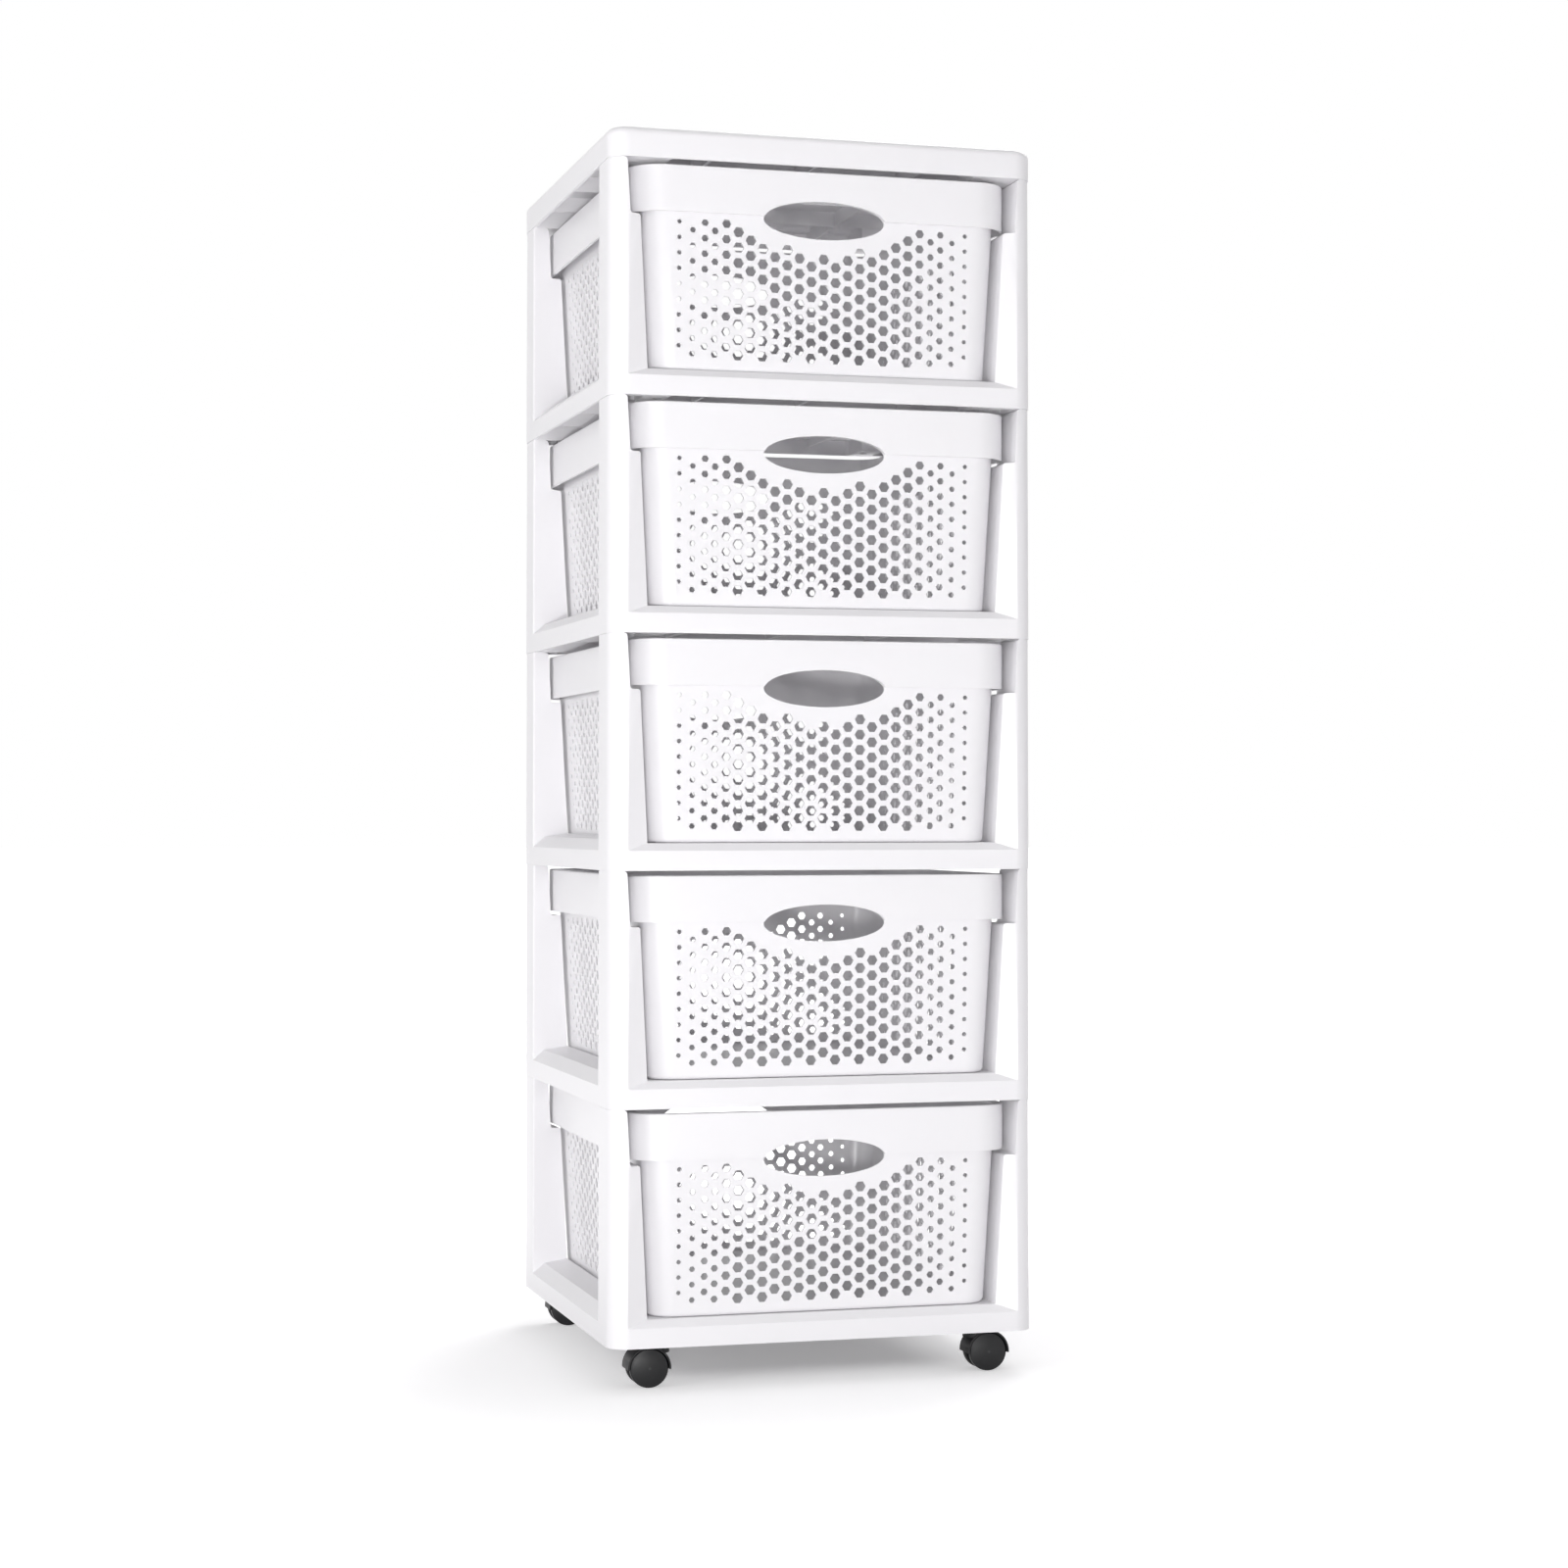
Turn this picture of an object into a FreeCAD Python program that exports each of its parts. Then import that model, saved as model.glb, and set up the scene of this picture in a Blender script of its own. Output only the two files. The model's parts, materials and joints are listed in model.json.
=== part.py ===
import FreeCAD, Part
import math
import os

os.makedirs("parts", exist_ok=True)

# Plastic drawer tower: five stacked open frames, each with a perforated drawer,
# under one top cover, standing on four small twin-wheel castors.
# Millimetres. X runs to the right, the drawers open towards -Y, Z is up.
# The origin is on the floor, at the centre of the tower's plan.

# Driving dimensions of the tower
tower_width = 358.0
tower_depth = 364.0
tier_pitch = 190.0
tier_count = 5
castor_height = 34.0
corner_radius = 17.0
wall = 2.5
cut_overrun = 5.0

# Rails and floor of one tier frame, heights from the frame's own underside.
# The rail is a thin skirt. Inside the strip, the hollow under the floor is higher.
rail_face_height = 16.0
floor_height = 22.0
front_bevel_depth = 7.0
side_bevel_depth = 10.6
side_bevel_height = 24.9
side_sill_height = 28.0
rail_strip_width = 14.0
recess_round = 4.0
floor_rib_depth = 14.0
floor_rib_count = 3
rear_stop_height = 5.0
rear_stop_length = 40.0
rear_stop_thickness = 3.0
rear_stop_place = 70.0
rear_stop_clearance = 1.0

# Corner posts, widths from the tower's side, lengths from its front or rear
post_draft = 0.5
post_length = 46.0
post_top_width = 14.0
post_upper_width = 16.4
post_ledge_width = 25.4
post_foot_width = 31.8
ledge_height = 145.0
ledge_round = 2.0
post_top_round = 3.5
post_seam_height = 0.4
post_seam_depth = 0.6
window_edge_round = 1.5
plug_height = 10.0
plug_clearance = 0.3

# Drawer, one moulding, placed in the frame with named gaps
floor_clearance = 0.3
drawer_side_gap = 28.9
drawer_side_foot_gap = 35.7
drawer_front_gap = 6.2
drawer_front_foot_gap = 10.3
rim_top_gap = 4.0
rim_height = 37.35
rim_front_gap = 2.6
rim_side_gap = 18.5
rim_corner_radius = 30.0
rim_edge_round = 1.4
drawer_corner_radius = 21.5
drawer_wall = 2.2
drawer_base_round = 3.5

# Hand hole through the front and rear of a drawer
hand_hole_half_width = 51.0
hand_hole_half_height = 15.0
hand_hole_drop = 43.0

# Perforations: flat-topped hexagons in columns, places from the wall's middle
hole_height = 8.0
column_pitch = 10.25
row_pitch = 12.4
row_count = 9
first_row_drop = 49.0
full_column_count = 7
edge_column_places = [81.8, 91.3, 99.7, 109.8, 120.9]
edge_hole_heights = [6.7, 5.3, 5.3, 4.4, 3.5]
plain_column_share = 7.0
plain_row_share = 2.1

# Top cover
cover_face_height = 18.0
cover_height = 24.5
cover_lip_width = 14.0
cover_tray_depth = 3.0
cover_tray_round = 2.0

# Castors: twin wheels under a hood, which swivels on a steel stem
wheel_radius = 15.75
wheel_width = 7.2
wheel_gap = 0.4
wheel_dome = 1.8
wheel_rim_thickness = 2.6
wheel_web_thickness = 2.2
wheel_hub_radius = 4.5
wheel_edge_round = 1.2
hood_top_clearance = 0.5
hood_width = 23.0
hood_thickness = 1.5
hood_skirt_drop = 1.0
hood_edge_round = 0.5
hood_web_width = 8.8
hood_foot_radius = 7.0
hood_boss_radius = 11.0
hood_boss_height = 6.0
axle_radius = 2.0
axle_reach = 4.0
running_clearance = 0.05
stem_radius = 3.0
stem_height = 19.0
stem_seat_depth = 9.0
stem_end_round = 0.6
grip_ring_thickness = 0.9
grip_ring_height = 14.0
grip_ring_slot = 1.6
grip_ring_lift = 1.0
socket_depth = 20.0
socket_wall = 3.4
castor_side_inset = 43.0
castor_end_inset = 24.5
castor_trail = 7.5

# Values worked out from the driving dimensions
half_width = tower_width / 2
half_depth = tower_depth / 2
frame_top = castor_height + tier_count * tier_pitch
drawer_base = floor_height + floor_clearance
rim_top = tier_pitch - rim_top_gap
rim_bottom = rim_top - rim_height
hand_hole_height = tier_pitch - hand_hole_drop
socket_radius = stem_radius + running_clearance + grip_ring_thickness
gusset_width = castor_side_inset + socket_radius + socket_wall
hood_top = castor_height - hood_top_clearance
hood_radius = hood_top - wheel_radius
centre = FreeCAD.Vector(0, 0, 0)
X_AXIS = FreeCAD.Vector(1, 0, 0)
Y_AXIS = FreeCAD.Vector(0, 1, 0)
Z_AXIS = FreeCAD.Vector(0, 0, 1)


# Shared shapes
def at(x, y, z):
    """A point."""
    return FreeCAD.Vector(x, y, z)


def share_between(low, high, share):
    """The value that lies a share of the way from low to high."""
    return low + (high - low) * share


def block(low, high):
    """A box between two opposite corners, each given as x, y, z."""
    size = [b - a for a, b in zip(low, high)]
    return Part.makeBox(size[0], size[1], size[2], at(*low))


def tapered_block(low_half_x, low_half_y, low_z, high_half_x, high_half_y, high_z):
    """A block about the Z axis whose half width and half depth change with height."""
    wedge = Part.makeWedge(-low_half_x, low_z, -low_half_y, -high_half_y, -high_half_x,
                           low_half_x, high_z, low_half_y, high_half_y, high_half_x)
    wedge.rotate(centre, X_AXIS, 90)
    return wedge


def prism(outline, direction):
    """A closed outline of points, filled and carried along a direction."""
    wire = Part.makePolygon(outline + [outline[0]])
    return Part.Face(wire).extrude(direction)


def upright_edges(shape):
    """The edges of a block that rise from its foot to its top."""
    height = shape.BoundBox.ZLength
    return [e for e in shape.Edges if e.BoundBox.ZLength > height / 2]


def level_edges(shape, height, slack):
    """The edges that lie flat at one height."""
    return [e for e in shape.Edges
            if abs(e.BoundBox.ZMin - height) < slack and abs(e.BoundBox.ZMax - height) < slack]


def rounded_upright(shape, radius):
    """A block with its rising edges rounded."""
    return shape.makeFillet(radius, upright_edges(shape))


def join(shapes):
    """Several touching or overlapping solids as one, with seams in flat faces removed."""
    return shapes[0].multiFuse(shapes[1:]).removeSplitter()


def mirrored(shape, axis):
    """The shape's mirror image across the middle plane square to an axis."""
    return shape.mirror(centre, axis)


def pair(shape, axis):
    """A shape and its mirror image across the middle plane square to an axis."""
    return [shape, mirrored(shape, axis)]


def four(shape):
    """A shape and its copies in the other three quarters of the plan."""
    return [s for side in pair(shape, X_AXIS) for s in pair(side, Y_AXIS)]


# Tier frame
def post_inner_width(height):
    """Width of a corner post below its ledge, which narrows upwards with the drawer."""
    share = (height - floor_height) / (ledge_height - floor_height)
    return share_between(post_foot_width, post_ledge_width, share)


def frame_channel():
    """The space that the drawer slides through, from the front of a tier to its rear."""
    foot = half_width - post_foot_width
    ledge = half_width - post_ledge_width
    upper = half_width - post_upper_width
    top = half_width - post_top_width
    right = [(foot, floor_height), (ledge, ledge_height), (upper, ledge_height),
             (top, tier_pitch), (top, tier_pitch + cut_overrun)]
    left = [(-x, z) for x, z in reversed(right)]
    start = -half_depth - cut_overrun
    outline = [at(x, start, z) for x, z in right + left]
    channel = prism(outline, Y_AXIS * (tower_depth + 2 * cut_overrun))
    corners = [e for e in channel.Edges
               if abs(e.BoundBox.ZMax - ledge_height) < ledge_round
               and e.BoundBox.YLength > tower_depth]
    return channel.makeFillet(ledge_round, corners)


def front_bevel():
    """The flared mouth of a tier's front opening, sloping in to the floor and posts."""
    outer = half_width - post_top_width
    inner = half_width - post_foot_width
    flare = (outer - inner) / front_bevel_depth * cut_overrun
    drop = (floor_height - rail_face_height) / front_bevel_depth * cut_overrun
    mouth = Part.makeWedge(-outer - flare, -cut_overrun, rail_face_height - drop,
                           floor_height, -inner,
                           outer + flare, front_bevel_depth, ledge_height,
                           ledge_height, inner)
    mouth.translate(at(0, -half_depth, 0))
    return mouth


def side_window():
    """The opening between two posts on the left side, down to the sloping sill."""
    side = -half_width
    sill = side + post_foot_width
    outline = [at(side - cut_overrun, 0, rail_face_height), at(side, 0, rail_face_height),
               at(side + side_bevel_depth, 0, side_bevel_height),
               at(sill, 0, side_sill_height), at(sill, 0, tier_pitch + cut_overrun),
               at(side - cut_overrun, 0, tier_pitch + cut_overrun)]
    length = tower_depth - 2 * post_length
    window = prism(outline, Y_AXIS * length)
    window.translate(at(0, -length / 2, 0))
    return window


def underside_recess(strip, top):
    """A hollow under a floor, inside a strip all round and clear of the corner gussets."""
    strip_x = half_width - strip
    strip_y = half_depth - strip
    gusset_x = half_width - gusset_width
    gusset_y = half_depth - post_length
    long_way = block((-strip_x, -gusset_y, -cut_overrun), (strip_x, gusset_y, top))
    cross_way = block((-gusset_x, -strip_y, -cut_overrun), (gusset_x, strip_y, top))
    rounded = [rounded_upright(b, recess_round) for b in (long_way, cross_way)]
    return rounded[0].fuse(rounded[1])


def floor_ribs(top, depth):
    """Crossed stiffening ribs under a floor, reaching into the skirt at their ends."""
    reach_x = half_width - wall / 2
    reach_y = half_depth - wall / 2
    ribs = []
    for index in range(1, floor_rib_count + 1):
        share = index / (floor_rib_count + 1)
        x = share_between(-half_width, half_width, share)
        y = share_between(-half_depth, half_depth, share)
        ribs.append(block((x - wall / 2, -reach_y, top - depth), (x + wall / 2, reach_y, top)))
        ribs.append(block((-reach_x, y - wall / 2, top - depth), (reach_x, y + wall / 2, top)))
    return ribs


def post_seam():
    """A fine rebate round the posts' tops, which shows as a line where frames meet."""
    low = tier_pitch - post_seam_height
    top = tier_pitch + cut_overrun
    inset = post_draft + post_seam_depth
    skin = block((-half_width, -half_depth, low), (half_width, half_depth, top))
    kept = block((-half_width + inset, -half_depth + inset, low),
                 (half_width - inset, half_depth - inset, top))
    return skin.cut(rounded_upright(kept, corner_radius - post_seam_depth))


def post_core(clearance, low, high):
    """The outer hollow of a corner post, or with a clearance the plug that fits it."""
    inset = wall + clearance
    start = (-half_width + inset, -half_depth + inset, low)
    core = block(start, (-half_width + post_top_width - inset,
                         -half_depth + post_length - inset, high))
    skin = rounded_upright(block(start, (half_width - inset, half_depth - inset, high)),
                           corner_radius - inset)
    return core.common(skin)


def post_foot_core():
    """The inner hollow of a corner post, under its ledge."""
    top = ledge_height - wall
    start = -half_depth + front_bevel_depth + wall
    length = post_length - front_bevel_depth - 2 * wall
    outline = [(post_top_width, -cut_overrun), (post_foot_width - wall, -cut_overrun),
               (post_foot_width - wall, floor_height),
               (post_inner_width(top) - wall, top), (post_top_width, top)]
    points = [at(-half_width + x, start, z) for x, z in outline]
    return prism(points, Y_AXIS * length)


def castor_socket():
    """The blind bore that takes a castor's stem and grip ring, at the front left."""
    base = at(castor_side_inset - half_width, castor_end_inset - half_depth, -cut_overrun)
    return Part.makeCylinder(socket_radius, socket_depth + cut_overrun, base)


def rear_stops():
    """Two low lugs on the floor that stop the drawer's foot at the rear."""
    start = half_depth - drawer_front_foot_gap + rear_stop_clearance
    lug = block((rear_stop_place - rear_stop_length / 2, start, floor_height - wall),
                (rear_stop_place + rear_stop_length / 2, start + rear_stop_thickness,
                 floor_height + rear_stop_height))
    return pair(lug, X_AXIS)


def window_edges(shape):
    """The outer upright edges of the posts beside the side windows."""
    corner = half_depth - post_length
    return [e for e in upright_edges(shape)
            if abs(e.BoundBox.XMin) > half_width - wall
            and abs(abs(e.BoundBox.YMin) - corner) < wall
            and abs(e.BoundBox.YMax - e.BoundBox.YMin) < wall]


def post_top_edges(shape):
    """The inner edges of the posts' top faces."""
    inner = half_width - post_top_width
    return [e for e in level_edges(shape, tier_pitch, post_draft)
            if abs(abs(e.BoundBox.XMin) - inner) < wall and e.BoundBox.XLength < wall]


def tier_frame():
    """One frame: a floor tray with a rail all round and four hollow corner posts."""
    body = tapered_block(half_width, half_depth, 0,
                         half_width - post_draft, half_depth - post_draft, tier_pitch)
    body = rounded_upright(body, corner_radius)
    body = body.cut([frame_channel()] + pair(front_bevel(), Y_AXIS)
                    + pair(side_window(), X_AXIS))
    body = body.makeFillet(post_top_round, post_top_edges(body))
    body = body.makeFillet(window_edge_round, window_edges(body))
    floor_underside = floor_height - wall
    ribs = [rib.common(body) for rib in floor_ribs(floor_underside + wall / 2, floor_rib_depth)]
    body = body.cut([underside_recess(rail_strip_width, floor_underside),
                     underside_recess(wall, rail_face_height - wall)])
    body = join([body] + ribs)
    hollows = [post_core(0, -cut_overrun, tier_pitch - wall), post_foot_core(),
               castor_socket()]
    body = body.cut([copy for h in hollows for copy in four(h)] + [post_seam()])
    plug = post_core(plug_clearance, tier_pitch - wall, tier_pitch + plug_height)
    return join([body] + four(plug) + rear_stops())


# Drawer
def drawer_half_sizes(height):
    """Outer half width and half depth of a drawer's body at a height in its tier."""
    share = (height - floor_height) / (rim_bottom - floor_height)
    side = share_between(drawer_side_foot_gap, drawer_side_gap, share)
    end = share_between(drawer_front_foot_gap, drawer_front_gap, share)
    return half_width - side, half_depth - end


def drawer_body(inset, low, high):
    """The drawer's tapered body, or with an inset the space inside it."""
    low_x, low_y = drawer_half_sizes(low)
    high_x, high_y = drawer_half_sizes(high)
    body = tapered_block(low_x - inset, low_y - inset, low,
                         high_x - inset, high_y - inset, high)
    body = rounded_upright(body, drawer_corner_radius - inset)
    base_round = drawer_base_round - inset / 2
    return body.makeFillet(base_round, level_edges(body, low, base_round))


def rim_block(inset, low, high):
    """The rim's outer block, or with an inset the space inside its skirt."""
    half_x = half_width - rim_side_gap - inset
    half_y = half_depth - rim_front_gap - inset
    rim = block((-half_x, -half_y, low), (half_x, half_y, high))
    return rounded_upright(rim, rim_corner_radius - inset)


def hand_hole(margin):
    """An oval bar through the drawer from front to rear, grown by a margin."""
    ellipse = Part.Ellipse(centre, hand_hole_half_width + margin,
                           hand_hole_half_height + margin)
    face = Part.Face(Part.Wire(ellipse.toShape()))
    bar = face.extrude(Z_AXIS * (tower_depth + 2 * cut_overrun))
    bar.rotate(centre, X_AXIS, -90)
    bar.translate(at(0, -half_depth - cut_overrun, hand_hole_height))
    return bar


def hole_columns():
    """Each column of perforations: its place, its holes' height and its odd or even turn."""
    columns = [(index * column_pitch, hole_height) for index in range(full_column_count + 1)]
    columns = columns + list(zip(edge_column_places, edge_hole_heights))
    return [(place, height, index % 2) for index, (place, height) in enumerate(columns)]


def hole_places(plain_round_hand_hole):
    """Places, heights and sizes of one wall's perforations."""
    places = []
    for place, size, odd in hole_columns():
        for row in range(row_count):
            level = tier_pitch - first_row_drop - (row + odd / 2) * row_pitch
            across = place / (plain_column_share * column_pitch)
            up = (level - hand_hole_height) / (plain_row_share * row_pitch)
            if plain_round_hand_hole and math.hypot(across, up) < 1:
                continue
            places.append((place, level, size))
            if place > 0:
                places.append((-place, level, size))
    return places


def hole_bar(place, level, size, length):
    """A flat-topped hexagonal bar along Y, as high across its flats as the size."""
    radius = size / math.sqrt(3)
    outline = []
    for corner in range(6):
        turn = math.radians(60 * corner)
        outline.append(at(place + radius * math.cos(turn), -length / 2,
                          level + radius * math.sin(turn)))
    return prism(outline, Y_AXIS * length)


def drawer():
    """One drawer: a tapered body with a hollow rim, hand holes and perforated walls."""
    body = drawer_body(0, drawer_base, rim_top)
    inside = drawer_body(drawer_wall, drawer_base + drawer_wall, rim_top + cut_overrun)
    rim = rim_block(0, rim_bottom, rim_top)
    rim = rim.makeFillet(rim_edge_round, level_edges(rim, rim_top, rim_edge_round))
    skirt_space = rim_block(drawer_wall, rim_bottom - cut_overrun, rim_top - drawer_wall)
    skirt_space = skirt_space.cut([body, hand_hole(drawer_wall)])
    shell = join([body, rim]).cut([skirt_space, inside, hand_hole(0)])
    end_bars = [hole_bar(*hole, tower_depth) for hole in hole_places(True)]
    side_bars = [hole_bar(*hole, tower_width) for hole in hole_places(False)]
    for bar in side_bars:
        bar.rotate(centre, Z_AXIS, 90)
    return shell.cut(end_bars).cut(side_bars)


# Top cover
def top_cover():
    """The cover: a shallow tray with a rounded edge, seated on the uppermost posts."""
    body = block((-half_width, -half_depth, 0), (half_width, half_depth, cover_height))
    body = rounded_upright(body, corner_radius)
    edge_round = cover_height - cover_face_height
    body = body.makeFillet(edge_round, level_edges(body, cover_height, edge_round))
    tray_x = half_width - cover_lip_width
    tray_y = half_depth - cover_lip_width
    tray_floor = cover_height - cover_tray_depth
    tray = block((-tray_x, -tray_y, tray_floor), (tray_x, tray_y, cover_height + cut_overrun))
    tray = rounded_upright(tray, corner_radius / 2)
    tray = tray.makeFillet(cover_tray_round, level_edges(tray, tray_floor, cover_tray_round))
    underside = tray_floor - wall
    body = body.cut([tray, underside_recess(rail_strip_width, underside),
                     underside_recess(wall, cover_face_height - wall)])
    body = join([body] + floor_ribs(underside + wall / 2, floor_rib_depth))
    socket = post_core(0, -cut_overrun, plug_height + wall)
    cover = body.cut(four(socket))
    cover.translate(at(0, 0, frame_top))
    return cover


# Castors, built about the stem's axis with the wheels trailing towards -X
def about_axle(radius, start, end):
    """A round bar about the axle's line, between two places across the castor."""
    return Part.makeCylinder(radius, end - start, at(-castor_trail, start, wheel_radius),
                             Y_AXIS)


def castor_hood():
    """The hood: an arch over both wheels, a web between them and a boss for the stem."""
    half = hood_width / 2
    half_web = hood_web_width / 2
    arch = about_axle(hood_radius, -half, half)
    below = block((-castor_trail - hood_radius, -half, wheel_radius - hood_radius),
                  (-castor_trail + hood_radius, half, wheel_radius - hood_skirt_drop))
    arch = arch.cut(below)
    rims = [e for e in arch.Edges
            if e.BoundBox.YLength < hood_edge_round and e.BoundBox.ZLength > hood_edge_round]
    arch = arch.makeFillet(hood_edge_round, rims)
    boss = Part.makeCylinder(hood_boss_radius, hood_boss_height,
                             at(0, 0, hood_top - hood_boss_height))
    room = about_axle(hood_radius - hood_thickness, half_web, half + cut_overrun)
    hood = join([arch, boss]).cut(pair(room, Y_AXIS))
    hood = join([hood, about_axle(hood_foot_radius, -half_web, half_web)])
    axle_hole = about_axle(axle_radius, -half, half)
    stem_hole = Part.makeCylinder(stem_radius, stem_seat_depth + cut_overrun,
                                  at(0, 0, hood_top - stem_seat_depth))
    return hood.cut([axle_hole, stem_hole])


def castor_stem():
    """The steel pin that stands in the hood and turns in the grip ring."""
    foot = hood_top - stem_seat_depth
    stem = Part.makeCylinder(stem_radius, castor_height + stem_height - foot, at(0, 0, foot))
    return stem.makeFillet(stem_end_round, [e for e in stem.Edges if e.BoundBox.ZLength == 0])


def castor_grip_ring():
    """The split steel sleeve between the stem and the frame's socket."""
    base = castor_height + grip_ring_lift
    inner = stem_radius + running_clearance
    sleeve = Part.makeCylinder(inner + grip_ring_thickness, grip_ring_height, at(0, 0, base))
    bore = Part.makeCylinder(inner, grip_ring_height, at(0, 0, base))
    half_slot = grip_ring_slot / 2
    slot = block((0, -half_slot, base),
                 (inner + 2 * grip_ring_thickness, half_slot, base + grip_ring_height))
    return sleeve.cut([bore, slot])


def castor_axle():
    """The steel axle through the hood, with an end in each wheel's hub."""
    half = hood_web_width / 2 + wheel_gap + axle_reach
    return about_axle(axle_radius, -half, half)


def castor_wheel(side):
    """One wheel on the side -1 or 1 of the hood: a cup with a hub and a domed face."""
    bore = axle_radius + running_clearance
    shoulder = wheel_width - wheel_dome
    cup = shoulder - wheel_web_thickness
    rim = wheel_radius - wheel_rim_thickness
    edge = wheel_edge_round
    bend = edge * (1 - math.sqrt(0.5))
    outer = wheel_radius - edge
    straight = [at(bore, 0, 0), at(wheel_hub_radius, 0, 0), at(wheel_hub_radius, cup, 0),
                at(rim, cup, 0), at(rim, 0, 0), at(outer, 0, 0)]
    lines = [Part.LineSegment(a, b).toShape() for a, b in zip(straight, straight[1:])]
    inner_bend = Part.Arc(at(outer, 0, 0), at(wheel_radius - bend, bend, 0),
                          at(wheel_radius, edge, 0)).toShape()
    tread = Part.LineSegment(at(wheel_radius, edge, 0),
                             at(wheel_radius, shoulder - edge, 0)).toShape()
    outer_bend = Part.Arc(at(wheel_radius, shoulder - edge, 0),
                          at(wheel_radius - bend, shoulder - bend, 0),
                          at(outer, shoulder, 0)).toShape()
    dome_radius = (outer ** 2 + wheel_dome ** 2) / (2 * wheel_dome)
    lean = math.asin(outer / dome_radius) / 2
    dome = Part.Arc(at(outer, shoulder, 0),
                    at(dome_radius * math.sin(lean),
                       wheel_width - dome_radius * (1 - math.cos(lean)), 0),
                    at(0, wheel_width, 0)).toShape()
    blind = axle_reach + running_clearance
    close = [at(0, wheel_width, 0), at(0, blind, 0), at(bore, blind, 0), at(bore, 0, 0)]
    closing = [Part.LineSegment(a, b).toShape() for a, b in zip(close, close[1:])]
    profile = Part.Wire(lines + [inner_bend, tread, outer_bend, dome] + closing)
    wheel = Part.Face(profile).revolve(centre, Y_AXIS, 360)
    wheel.translate(at(0, hood_web_width / 2 + wheel_gap, 0))
    if side < 0:
        wheel = mirrored(wheel, Y_AXIS)
    wheel.translate(at(-castor_trail, 0, wheel_radius))
    return wheel


# Where the pieces go, and their files
def write(shape, name):
    """Write one node's file."""
    shape.exportStep("parts/" + name + ".step")


def write_castors():
    """Four castors, the right pair mirror images of the left pair."""
    pieces = {"stem": castor_stem(), "grip_ring": castor_grip_ring(),
              "hood": castor_hood(), "axle": castor_axle()}
    for end, end_sign in (("front", -1), ("rear", 1)):
        for side, side_sign in (("left", -1), ("right", 1)):
            place = at(side_sign * (half_width - castor_side_inset),
                       end_sign * (half_depth - castor_end_inset), 0)
            wheels = {"outer_wheel": castor_wheel(end_sign),
                      "inner_wheel": castor_wheel(-end_sign)}
            for name, shape in {**pieces, **wheels}.items():
                piece = shape.copy() if side_sign < 0 else mirrored(shape, X_AXIS)
                piece.translate(place)
                write(piece, "_".join(["castor", end, side, name]))


def write_tiers():
    """The frames and drawers, numbered from the lowest tier up."""
    frame = tier_frame()
    box = drawer()
    for tier in range(tier_count):
        lift = at(0, 0, castor_height + tier * tier_pitch)
        for name, shape in (("tier_frame", frame), ("drawer", box)):
            piece = shape.copy()
            piece.translate(lift)
            write(piece, name + "_" + str(tier + 1))


write_castors()
write_tiers()
write(top_cover(), "top_cover")
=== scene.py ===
"""Looks of the plastic drawer tower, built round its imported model.

Metres, in the model's own frame: X right, the drawers open towards -Y, Z up,
the floor at Z = 0.
"""
import json
import math

import bpy
import numpy as np
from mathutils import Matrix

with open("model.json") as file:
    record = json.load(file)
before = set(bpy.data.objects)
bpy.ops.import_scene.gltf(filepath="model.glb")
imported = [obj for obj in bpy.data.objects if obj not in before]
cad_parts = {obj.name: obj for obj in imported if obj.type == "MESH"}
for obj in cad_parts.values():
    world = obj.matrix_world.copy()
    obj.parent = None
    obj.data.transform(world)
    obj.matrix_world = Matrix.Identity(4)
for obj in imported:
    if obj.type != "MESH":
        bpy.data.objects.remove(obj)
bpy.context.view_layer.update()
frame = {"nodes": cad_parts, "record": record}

# Camera, from the photograph's two sets of receding edges
CAMERA_PLACE = (-0.7128, -2.5801, 0.4589)
CAMERA_TURN = (math.radians(90.566), 0.0, math.radians(-15.766))
CAMERA_LENS = 70.94
SENSOR_WIDTH = 36.0

# Colours, linear
WHITE_PLASTIC = (0.875, 0.865, 0.885, 1.0)
BLACK_PLASTIC = (0.007, 0.007, 0.008, 1.0)
PIN_STEEL = (0.55, 0.56, 0.58, 1.0)
FLOOR_COLOUR = (0.80, 0.795, 0.805, 1.0)
STUDIO_WHITE = (1.0, 0.995, 1.0, 1.0)
PLAIN_WHITE = (1.0, 1.0, 1.0, 1.0)

# Slow changes over a moulding: patches per metre, and how far roughness and shade change
FLOW_SIZE, ROUGHNESS_CHANGE, SHADE_CHANGE = 9.0, 0.05, 0.03

# Shading of the carried-over meshes: corners closer than this become one, in metres,
# and edges steeper than this stay crisp
WELD_DISTANCE = 1e-6
CRISP_ANGLE = math.radians(30)

# Studio: strengths of light, and where the floor fades to plain white, in metres.
# The floor's glow counts from a square of this half width under the tower; it is
# weaker near the tower, which paints shade round its foot beside the real shadow.
WORLD_LIGHT = 0.49
FLOOR_CORE = 0.09
# Painted shade: the floor glows less under and near the tower than far out
PAINTED_SHADE_GLOW, NEAR_GLOW, FAR_GLOW = 0.19, 0.42, 1.0
PAINTED_SHADE_END, FADE_START, FADE_END = 0.07, 0.12, 0.75
FLOOR_RADII = (0.0, 0.5, 1.0, 2.0, 4.0, 8.0, 16.0, 40.0)
FLOOR_TURNS = 96


def node_of(tree, kind, **values):
    """A shader or geometry node with some of its settings or inputs given.

    An underscore in a name stands for the space in an input's name.
    """
    made = tree.nodes.new(kind)
    for name, value in values.items():
        if hasattr(made, name):
            setattr(made, name, value)
        else:
            made.inputs[name.replace("_", " ")].default_value = value
    return made


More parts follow.
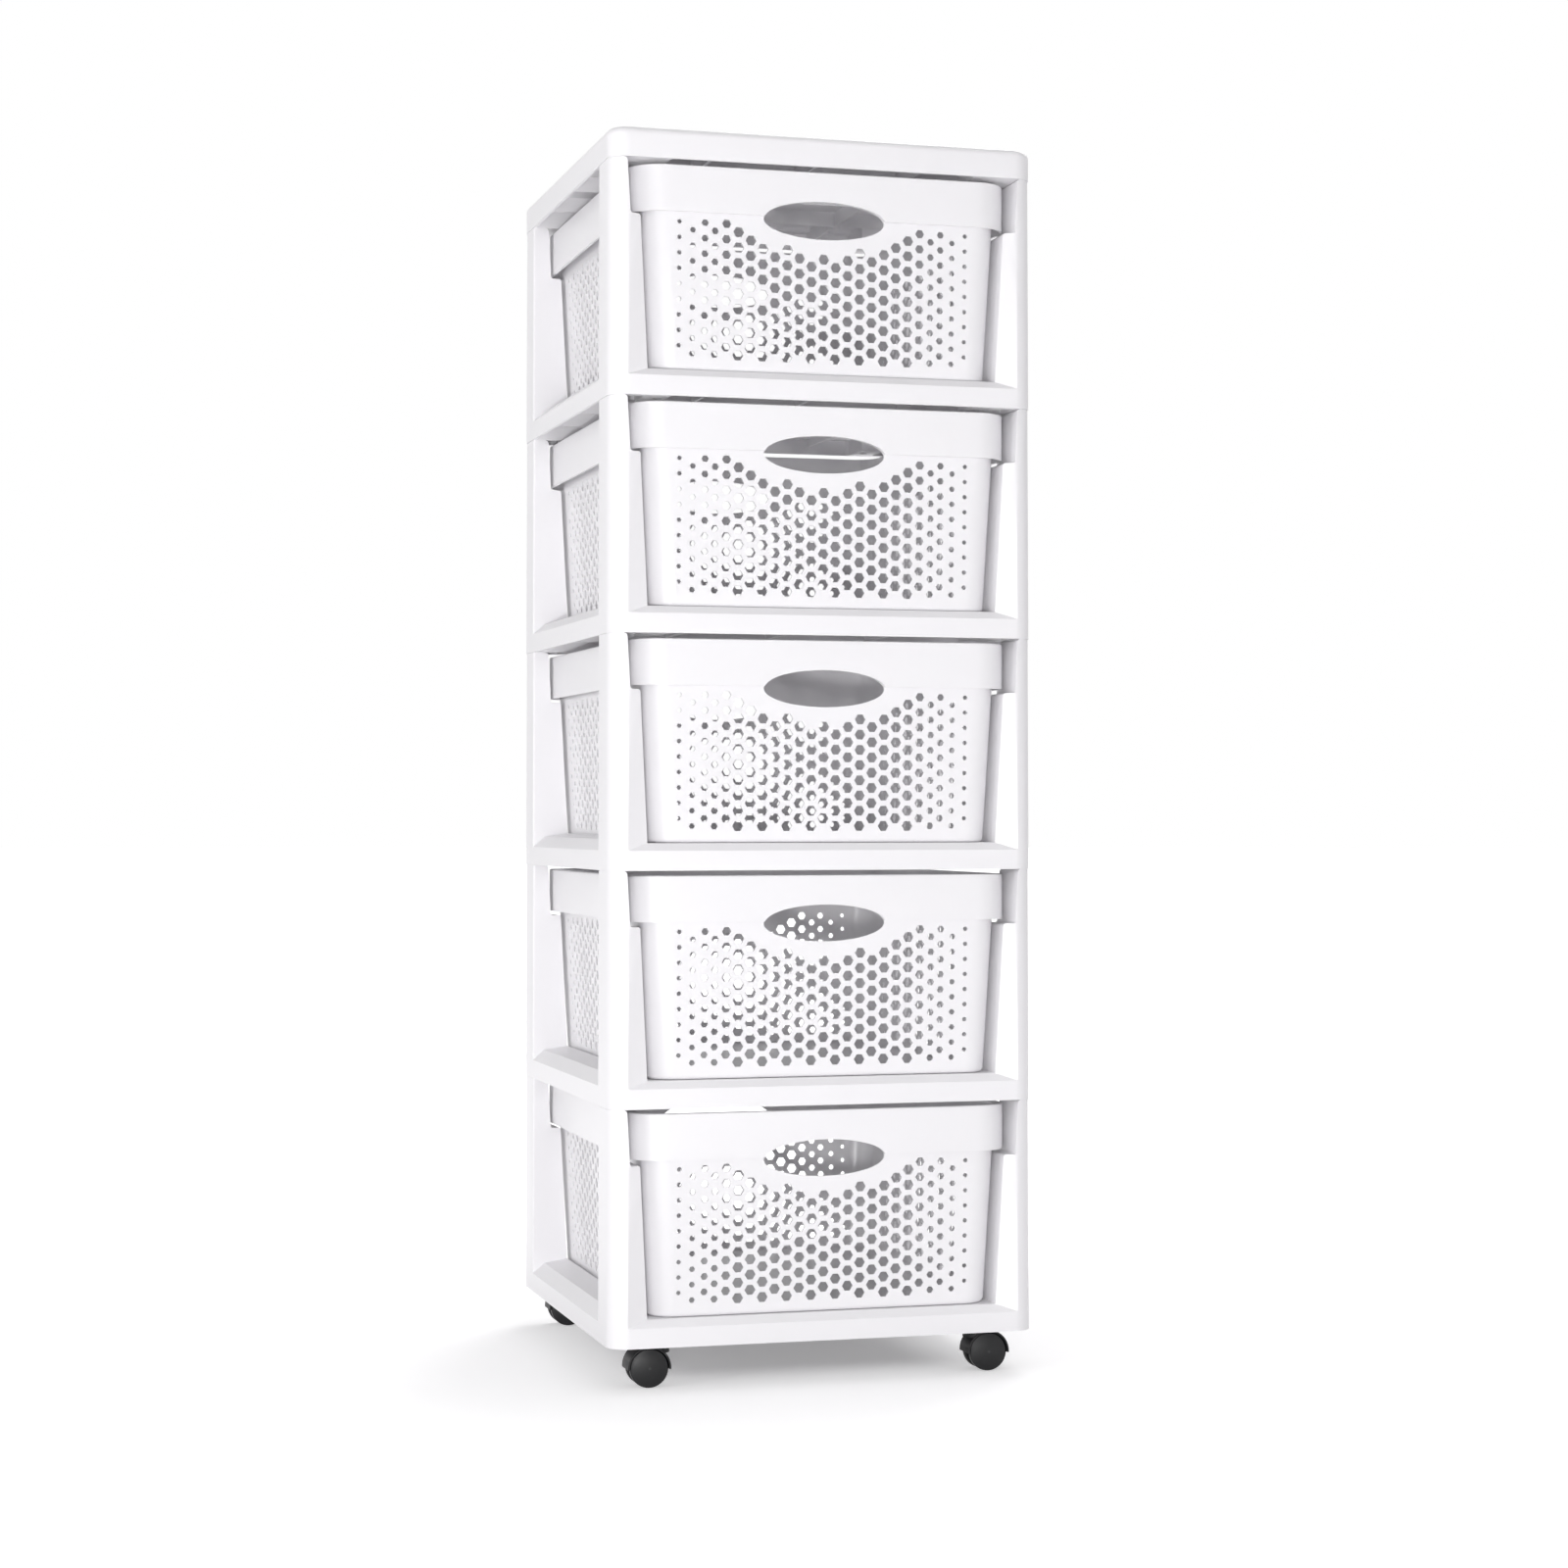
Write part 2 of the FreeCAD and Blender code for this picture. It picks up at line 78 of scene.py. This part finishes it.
def shaded_by_angle():
    """Geometry nodes that weld a moulding's loose triangles and shade it smooth.

    An edge stays crisp where its two faces' normals stand further apart than
    the crisp angle.
    """
    group = bpy.data.node_groups.new("moulding_shading", "GeometryNodeTree")
    for direction in ("INPUT", "OUTPUT"):
        group.interface.new_socket("Geometry", in_out=direction,
                                   socket_type="NodeSocketGeometry")
    start = node_of(group, "NodeGroupInput")
    end = node_of(group, "NodeGroupOutput")
    weld = node_of(group, "GeometryNodeMergeByDistance", Distance=WELD_DISTANCE)
    smooth = node_of(group, "GeometryNodeSetShadeSmooth", domain="FACE")
    crisp = node_of(group, "GeometryNodeSetShadeSmooth", domain="EDGE", Shade_Smooth=False)
    angle = node_of(group, "GeometryNodeInputMeshEdgeAngle")
    steep = node_of(group, "FunctionNodeCompare", data_type="FLOAT", operation="GREATER_THAN")
    steep.inputs["B"].default_value = CRISP_ANGLE
    link = group.links.new
    link(start.outputs[0], weld.inputs["Geometry"])
    link(weld.outputs[0], smooth.inputs["Geometry"])
    link(smooth.outputs[0], crisp.inputs["Geometry"])
    link(angle.outputs["Unsigned Angle"], steep.inputs["A"])
    link(steep.outputs["Result"], crisp.inputs["Selection"])
    link(crisp.outputs[0], end.inputs[0])
    return group


def moulded_surface():
    """Node group: the fine grain and the soft changes of a moulded plastic skin.

    The flow is a slow noise less one half. The roughness is the given one plus
    its change times the flow, and the colour is the given one times one plus
    the shade's change times the flow. The height is a fine noise times the
    grain's height.
    """
    group = bpy.data.node_groups.new("moulded_surface", "ShaderNodeTree")
    face = group.interface
    for name in ("Grain Size", "Grain Height", "Roughness"):
        face.new_socket(name, in_out="INPUT", socket_type="NodeSocketFloat")
    for name, value in (("Flow Size", FLOW_SIZE), ("Roughness Change", ROUGHNESS_CHANGE),
                        ("Shade Change", SHADE_CHANGE)):
        socket = face.new_socket(name, in_out="INPUT", socket_type="NodeSocketFloat")
        socket.default_value = value
    face.new_socket("Colour", in_out="INPUT", socket_type="NodeSocketColor")
    face.new_socket("Colour", in_out="OUTPUT", socket_type="NodeSocketColor")
    face.new_socket("Roughness", in_out="OUTPUT", socket_type="NodeSocketFloat")
    face.new_socket("Height", in_out="OUTPUT", socket_type="NodeSocketFloat")
    start = node_of(group, "NodeGroupInput")
    end = node_of(group, "NodeGroupOutput")
    place = node_of(group, "ShaderNodeTexCoord")
    grain = node_of(group, "ShaderNodeTexNoise", Detail=2.0)
    flow = node_of(group, "ShaderNodeTexNoise", Detail=3.0)
    link = group.links.new
    link(place.outputs["Object"], grain.inputs["Vector"])
    link(start.outputs["Grain Size"], grain.inputs["Scale"])
    link(place.outputs["Object"], flow.inputs["Vector"])
    link(start.outputs["Flow Size"], flow.inputs["Scale"])
    centred = node_of(group, "ShaderNodeMath", operation="SUBTRACT")
    centred.inputs[1].default_value = 0.5
    link(flow.outputs["Fac"], centred.inputs[0])
    rough = node_of(group, "ShaderNodeMath", operation="MULTIPLY_ADD")
    link(centred.outputs[0], rough.inputs[0])
    link(start.outputs["Roughness Change"], rough.inputs[1])
    link(start.outputs["Roughness"], rough.inputs[2])
    link(rough.outputs[0], end.inputs["Roughness"])
    height = node_of(group, "ShaderNodeMath", operation="MULTIPLY")
    link(grain.outputs["Fac"], height.inputs[0])
    link(start.outputs["Grain Height"], height.inputs[1])
    link(height.outputs[0], end.inputs["Height"])
    shade = node_of(group, "ShaderNodeMath", operation="MULTIPLY_ADD")
    shade.inputs[2].default_value = 1.0
    link(centred.outputs[0], shade.inputs[0])
    link(start.outputs["Shade Change"], shade.inputs[1])
    tinted = node_of(group, "ShaderNodeVectorMath", operation="SCALE")
    link(start.outputs["Colour"], tinted.inputs[0])
    link(shade.outputs[0], tinted.inputs["Scale"])
    link(tinted.outputs[0], end.inputs["Colour"])
    return group


def moulded(name, surface, colour, roughness, grain_size, grain_height, specular=0.5,
            metallic=0.0):
    """A material whose skin is the shared moulded surface with its own values."""
    made = bpy.data.materials.new(name)
    made.use_nodes = True
    tree = made.node_tree
    tree.nodes.clear()
    skin = node_of(tree, "ShaderNodeGroup", node_tree=surface)
    skin.inputs["Colour"].default_value = colour
    skin.inputs["Roughness"].default_value = roughness
    skin.inputs["Grain Size"].default_value = grain_size
    skin.inputs["Grain Height"].default_value = grain_height
    shader = node_of(tree, "ShaderNodeBsdfPrincipled", Metallic=metallic)
    shader.inputs["Specular IOR Level"].default_value = specular
    bump = node_of(tree, "ShaderNodeBump", Distance=1.0)
    end = node_of(tree, "ShaderNodeOutputMaterial")
    link = tree.links.new
    link(skin.outputs["Colour"], shader.inputs["Base Color"])
    link(skin.outputs["Roughness"], shader.inputs["Roughness"])
    link(skin.outputs["Height"], bump.inputs["Height"])
    link(bump.outputs["Normal"], shader.inputs["Normal"])
    link(shader.outputs["BSDF"], end.inputs["Surface"])
    return made


def dress_nodes():
    """Gives every carried-over node its shading and its material.

    Grain sizes are in bumps per metre and grain heights in metres.
    """
    shading = shaded_by_angle()
    surface = moulded_surface()
    chosen = {
        "frame_plastic": moulded("frame_polypropylene", surface, WHITE_PLASTIC, roughness=0.36,
                                 grain_size=700, grain_height=0.000012),
        "drawer_plastic": moulded("drawer_polypropylene", surface, WHITE_PLASTIC, roughness=0.30,
                                  grain_size=700, grain_height=0.000008),
        "wheel_plastic": moulded("wheel_nylon", surface, BLACK_PLASTIC, roughness=0.38,
                                 grain_size=1500, grain_height=0.00001, specular=0.35),
        "hood_plastic": moulded("hood_nylon", surface, BLACK_PLASTIC, roughness=0.45,
                                grain_size=1500, grain_height=0.00001, specular=0.3),
        "pin_steel": moulded("zinc_plated_pin", surface, PIN_STEEL, roughness=0.32,
                             grain_size=2500, grain_height=0.000004, metallic=1.0)}
    slots = {part["node"]: part["material_slot"] for part in frame["record"]["subparts"]}
    for name, node in frame["nodes"].items():
        node.data.materials.clear()
        node.data.materials.append(chosen[slots[name]])
        modifier = node.modifiers.new("shading", "NODES")
        modifier.node_group = shading


def ramp_of(tree, value, source, target):
    """A smooth step of a value from one range to another.

    The share of the first range that it has passed goes into the second range
    as three times its square less twice its cube.
    """
    made = node_of(tree, "ShaderNodeMapRange", interpolation_type="SMOOTHSTEP")
    made.inputs["From Min"].default_value, made.inputs["From Max"].default_value = source
    made.inputs["To Min"].default_value, made.inputs["To Max"].default_value = target
    tree.links.new(value, made.inputs["Value"])
    return made.outputs["Result"]


def seen_plainly(tree):
    """A value that is 1 for the camera, for mirrors and for glass, and else 0.

    It is the greatest of the three kinds of ray's marks.
    """
    path = node_of(tree, "ShaderNodeLightPath")
    mirrored = node_of(tree, "ShaderNodeMath", operation="MAXIMUM")
    seen = node_of(tree, "ShaderNodeMath", operation="MAXIMUM")
    tree.links.new(path.outputs["Is Glossy Ray"], mirrored.inputs[0])
    tree.links.new(path.outputs["Is Transmission Ray"], mirrored.inputs[1])
    tree.links.new(path.outputs["Is Camera Ray"], seen.inputs[0])
    tree.links.new(mirrored.outputs[0], seen.inputs[1])
    return seen.outputs[0]


def floor_finish():
    """The floor's material: a lit colour plus a glow that carries it to plain white.

    The glow's strength is one smooth step of the distance from the square under
    the tower, from the painted shade's glow to the near glow, plus a second, wider one
    from nothing to the rest. So the floor round the tower is darker by painted shade
    as well as by its real shadow. Only the camera, mirrors and glass see it.
    """
    made = bpy.data.materials.new("studio_floor")
    made.use_nodes = True
    tree = made.node_tree
    tree.nodes.clear()
    lit = node_of(tree, "ShaderNodeBsdfDiffuse", Color=FLOOR_COLOUR)
    place = node_of(tree, "ShaderNodeTexCoord")
    folded = node_of(tree, "ShaderNodeVectorMath", operation="ABSOLUTE")
    beyond = node_of(tree, "ShaderNodeVectorMath", operation="SUBTRACT")
    beyond.inputs[1].default_value = (FLOOR_CORE, FLOOR_CORE, 0)
    outside = node_of(tree, "ShaderNodeVectorMath", operation="MAXIMUM")
    distance = node_of(tree, "ShaderNodeVectorMath", operation="LENGTH")
    # Painted shade: the glow drops towards the tower, darkening the floor round its foot
    near = ramp_of(tree, distance.outputs["Value"], (0, PAINTED_SHADE_END), (PAINTED_SHADE_GLOW, NEAR_GLOW))
    far = ramp_of(tree, distance.outputs["Value"], (FADE_START, FADE_END),
                  (0, FAR_GLOW - NEAR_GLOW))
    strength = node_of(tree, "ShaderNodeMath", operation="ADD")
    scaled = node_of(tree, "ShaderNodeMath", operation="MULTIPLY")
    glow = node_of(tree, "ShaderNodeEmission")
    both = node_of(tree, "ShaderNodeAddShader")
    end = node_of(tree, "ShaderNodeOutputMaterial")
    link = tree.links.new
    link(place.outputs["Object"], folded.inputs[0])
    link(folded.outputs[0], beyond.inputs[0])
    link(beyond.outputs[0], outside.inputs[0])
    link(outside.outputs[0], distance.inputs[0])
    link(near, strength.inputs[0])
    link(far, strength.inputs[1])
    link(strength.outputs[0], scaled.inputs[0])
    link(seen_plainly(tree), scaled.inputs[1])
    link(scaled.outputs[0], glow.inputs["Strength"])
    link(lit.outputs[0], both.inputs[0])
    link(glow.outputs[0], both.inputs[1])
    link(both.outputs[0], end.inputs["Surface"])
    return made


def make_floor():
    """A wide disc, radius along one parameter and angle along the other."""
    radii = np.array(FLOOR_RADII)
    turns = np.linspace(0, 2 * math.pi, FLOOR_TURNS + 1)[:-1]
    r, t = np.meshgrid(radii, turns, indexing="ij")
    points = np.stack([r * np.cos(t), r * np.sin(t), 0 * r], -1).reshape(-1, 3)
    row, column = np.meshgrid(np.arange(len(radii) - 1), np.arange(FLOOR_TURNS), indexing="ij")
    beside = (column + 1) % FLOOR_TURNS
    quads = np.stack([row * FLOOR_TURNS + column, (row + 1) * FLOOR_TURNS + column,
                      (row + 1) * FLOOR_TURNS + beside, row * FLOOR_TURNS + beside],
                     -1).reshape(-1, 4)
    mesh = bpy.data.meshes.new("floor")
    mesh.from_pydata(points.tolist(), [], quads.tolist())
    mesh.materials.append(floor_finish())
    floor = bpy.data.objects.new("floor", mesh)
    bpy.context.scene.collection.objects.link(floor)


def make_world():
    """Even studio light from all round, white behind the object."""
    world = bpy.data.worlds.new("studio")
    bpy.context.scene.world = world
    world.use_nodes = True
    tree = world.node_tree
    tree.nodes.clear()
    around = node_of(tree, "ShaderNodeBackground", Color=STUDIO_WHITE, Strength=WORLD_LIGHT)
    behind = node_of(tree, "ShaderNodeBackground", Color=PLAIN_WHITE, Strength=1.0)
    choose = node_of(tree, "ShaderNodeMixShader")
    end = node_of(tree, "ShaderNodeOutputWorld")
    tree.links.new(seen_plainly(tree), choose.inputs[0])
    tree.links.new(around.outputs[0], choose.inputs[1])
    tree.links.new(behind.outputs[0], choose.inputs[2])
    tree.links.new(choose.outputs[0], end.inputs["Surface"])


def hang_lamp(name, kind, place, power):
    """A lamp of one kind at a place, unturned."""
    lamp = bpy.data.lights.new(name, kind)
    lamp.energy = power
    holder = bpy.data.objects.new(name, lamp)
    holder.location = place
    bpy.context.scene.collection.objects.link(holder)
    return holder


def make_softbox(name, place, aim, size, power):
    """A soft box that faces a point.

    Its tilt from straight down is the angle of the level distance to the aim
    over the drop to it, and its turn about Z brings the tilt towards the aim.
    """
    holder = hang_lamp(name, "AREA", place, power)
    holder.data.shape = "RECTANGLE"
    holder.data.size, holder.data.size_y = size
    towards = np.array(aim) - np.array(place)
    level = math.hypot(towards[0], towards[1])
    holder.rotation_euler = (math.atan2(level, -towards[2]), 0,
                             math.atan2(-towards[0], towards[1]))


def make_camera():
    """The photograph's viewpoint."""
    camera = bpy.data.cameras.new("camera")
    camera.lens = CAMERA_LENS
    camera.sensor_width = SENSOR_WIDTH
    holder = bpy.data.objects.new("camera", camera)
    holder.location = CAMERA_PLACE
    holder.rotation_euler = CAMERA_TURN
    bpy.context.scene.collection.objects.link(holder)
    bpy.context.scene.camera = holder


make_camera()
make_world()

# A small round lamp beside the camera throws the perforations' light spots
camera_lamp = hang_lamp("camera_lamp", "POINT", place=(-0.74, -2.2, 0.34), power=46)
camera_lamp.data.shadow_soft_size = 0.04
make_softbox("front_softbox", place=(-0.8, -2.6, 0.10), aim=(0, 0, 0.1), size=(2.4, 0.4),
             power=21)
make_softbox("side_softbox", place=(-3.0, -0.8, 0.7), aim=(0, 0, 0.5), size=(1.2, 1.2),
             power=22)
make_softbox("rear_softbox", place=(1.6, 2.2, 2.8), aim=(0, 0, 0.6), size=(1.8, 1.8),
             power=48)
make_floor()
dress_nodes()
bpy.context.scene.view_settings.view_transform = "Standard"
